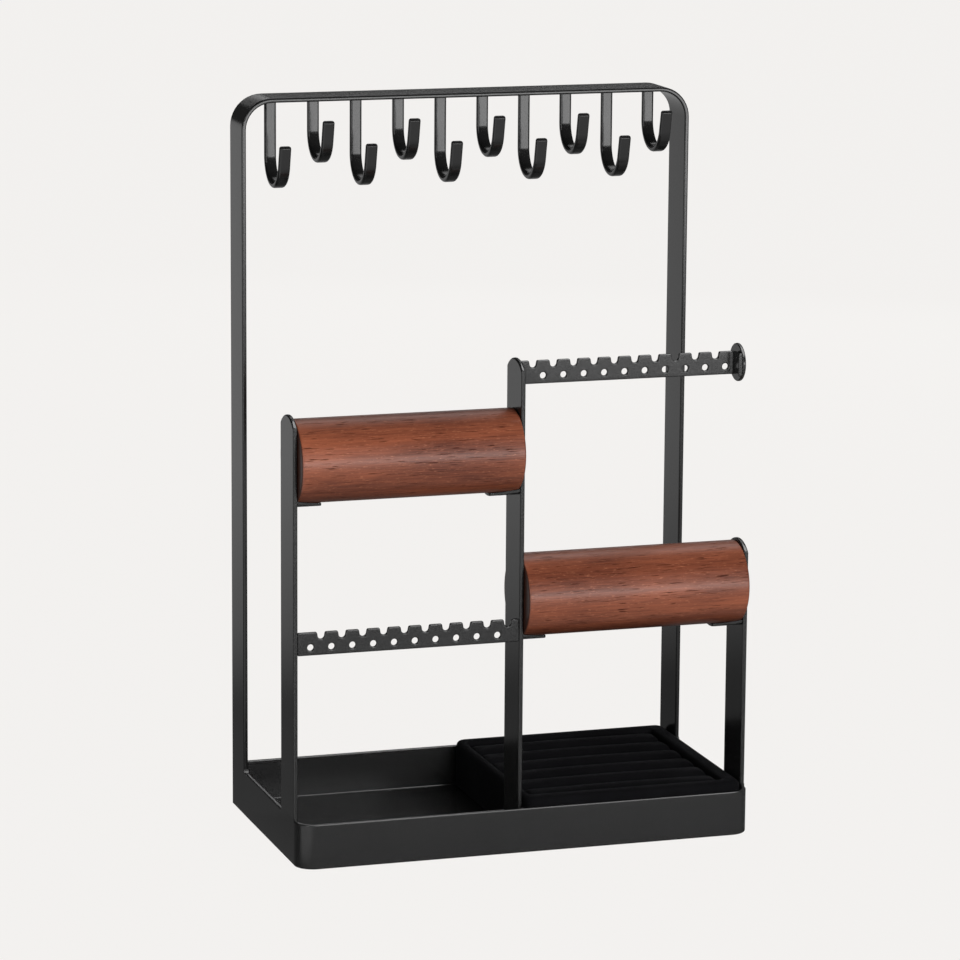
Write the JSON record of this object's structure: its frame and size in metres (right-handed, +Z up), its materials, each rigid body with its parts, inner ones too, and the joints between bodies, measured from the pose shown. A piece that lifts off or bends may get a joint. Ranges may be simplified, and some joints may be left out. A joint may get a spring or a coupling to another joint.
{
  "type": "jewelry stand with ring tray",
  "caption": "Countertop jewelry stand: black steel tray with lift-out velvet ring tray, necklace hooks on an arched frame, wooden bracelet bars and pierced earring rails.",
  "frame": {"origin": "centre of the footprint on the surface that the stand rests on", "axes": "+X to the viewer's right, +Y to the back (the hooks and the tray face -Y), +Z up"},
  "size_m": [0.225, 0.1226, 0.3504],
  "materials": {
    "black_powder_coat": "satin black powder coat with a fine even texture",
    "stained_wood": "reddish-brown stained hardwood with dark pores along the bar, satin varnish",
    "black_velvet": "short black velvet pile with a pale sheen on the rounded edges",
    "zinc_screw": "zinc plated",
    "foot_rubber": "matt black"
  },
  "bodies": {
    "stand": {"tray_pan": "black_powder_coat", "left_side_plate": "black_powder_coat", "right_side_plate": "black_powder_coat", "centre_post": "black_powder_coat", "hanging_frame": "black_powder_coat", "lower_earring_rail": "black_powder_coat", "upper_earring_rail": "black_powder_coat", "rail_end_disc": "black_powder_coat", "upper_bar_left_tongue": "black_powder_coat", "upper_bar_right_tongue": "black_powder_coat", "lower_bar_left_tongue": "black_powder_coat", "lower_bar_right_tongue": "black_powder_coat", "hook_01": "black_powder_coat", "hook_02": "black_powder_coat", "hook_03": "black_powder_coat", "hook_04": "black_powder_coat", "hook_05": "black_powder_coat", "hook_06": "black_powder_coat", "hook_07": "black_powder_coat", "hook_08": "black_powder_coat", "hook_09": "black_powder_coat", "hook_10": "black_powder_coat", "upper_wooden_bar": "stained_wood", "lower_wooden_bar": "stained_wood", "bar_wood_screws": "zinc_screw", "rubber_feet": "foot_rubber"},
    "ring_tray": {"ring_tray_case": "black_velvet", "ring_roll_1": "black_velvet", "ring_roll_2": "black_velvet", "ring_roll_3": "black_velvet", "ring_roll_4": "black_velvet", "ring_roll_5": "black_velvet", "ring_roll_6": "black_velvet"}
  },
  "joints": [
    {"name": "ring_tray_lift", "type": "slide", "parent": "stand", "child": "ring_tray", "axis": [0, 0, 1], "range_m": [0, 0.05]}
  ]
}
